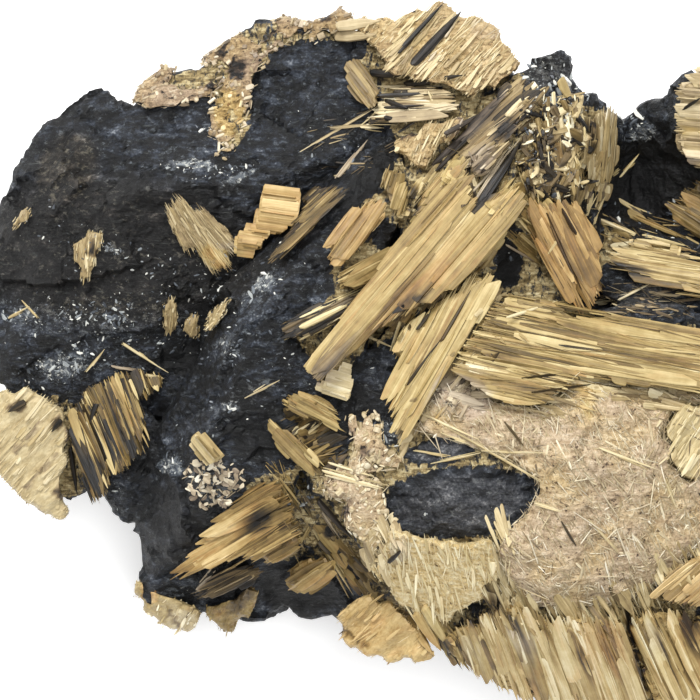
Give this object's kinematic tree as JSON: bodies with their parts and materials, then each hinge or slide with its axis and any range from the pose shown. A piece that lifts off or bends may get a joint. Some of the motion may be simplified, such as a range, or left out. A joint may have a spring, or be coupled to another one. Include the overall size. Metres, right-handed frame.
{
  "type": "mineral specimen, rutile on hematite",
  "caption": "Rough mineral specimen of intergrown black hematite plates crusted with golden rutile sheaves, fans and felted mats, lying on a flat broken face.",
  "frame": {"origin": "the middle of the display face's drawing grid, dropped onto the flat broken face that the specimen rests on", "axes": "+Z up from the resting face out through the display face, +X along the specimen's longest extent, to the right of the display face seen from above with +Y up"},
  "size_m": [0.0647, 0.0587, 0.0257],
  "materials": {
    "hematite": "semi-metallic blue-black crystal plate with small sparkling steps",
    "rutile_straw": "straw-gold parallel laths with a silky lustre",
    "rutile_bright": "bright pale gold laths",
    "rutile_brown": "brown-gold laths",
    "rutile_beige": "pinkish beige felt of fine needles"
  },
  "bodies": {
    "root": {"hematite": "hematite", "rutile_long_sheaf": "rutile_straw", "rutile_broad_sheaf": "rutile_straw", "rutile_peak_blades": "rutile_brown", "rutile_brown_sheaf": "rutile_brown", "rutile_peak_crumbs": "rutile_brown", "rutile_shoulder_block": "rutile_straw", "rutile_top_crust": "rutile_straw", "rutile_crust_lobe": "rutile_straw", "rutile_leaning_lath": "rutile_brown", "rutile_crossed_laths": "rutile_bright", "rutile_rim_crust": "rutile_beige", "rutile_pendant_fan": "rutile_straw", "rutile_bright_block": "rutile_bright", "rutile_edge_sheaf": "rutile_straw", "rutile_left_leaf": "rutile_straw", "rutile_edge_leaf": "rutile_straw", "rutile_notch_leaf_left": "rutile_straw", "rutile_notch_leaf_middle": "rutile_straw", "rutile_notch_leaf_right": "rutile_straw", "rutile_lower_left_fan": "rutile_straw", "rutile_side_fan": "rutile_straw", "rutile_saddle_leaf_low": "rutile_straw", "rutile_saddle_leaf_high": "rutile_straw", "rutile_upper_spray": "rutile_straw", "rutile_needle_spray": "rutile_straw", "rutile_wide_sheaf": "rutile_straw", "rutile_hollow_laths": "rutile_straw", "rutile_hollow_edge": "rutile_brown", "rutile_right_block": "rutile_bright", "rutile_right_sheaf": "rutile_straw", "rutile_woven_mat": "rutile_beige", "rutile_apron": "rutile_straw", "rutile_cleft_ridge": "rutile_beige", "rutile_cream_wedge": "rutile_bright", "rutile_basket_rim": "rutile_straw", "rutile_basket_rail": "rutile_straw", "rutile_chip": "rutile_bright", "rutile_lower_fan": "rutile_straw", "rutile_under_laths": "rutile_straw", "rutile_wedge_tip": "rutile_brown", "rutile_lower_tips": "rutile_beige", "rutile_fang": "rutile_brown", "rutile_lower_lobe": "rutile_straw", "rutile_lower_laths": "rutile_straw", "rutile_corner_laths": "rutile_straw", "rutile_corner_fringe": "rutile_straw"}
  },
  "joints": []
}
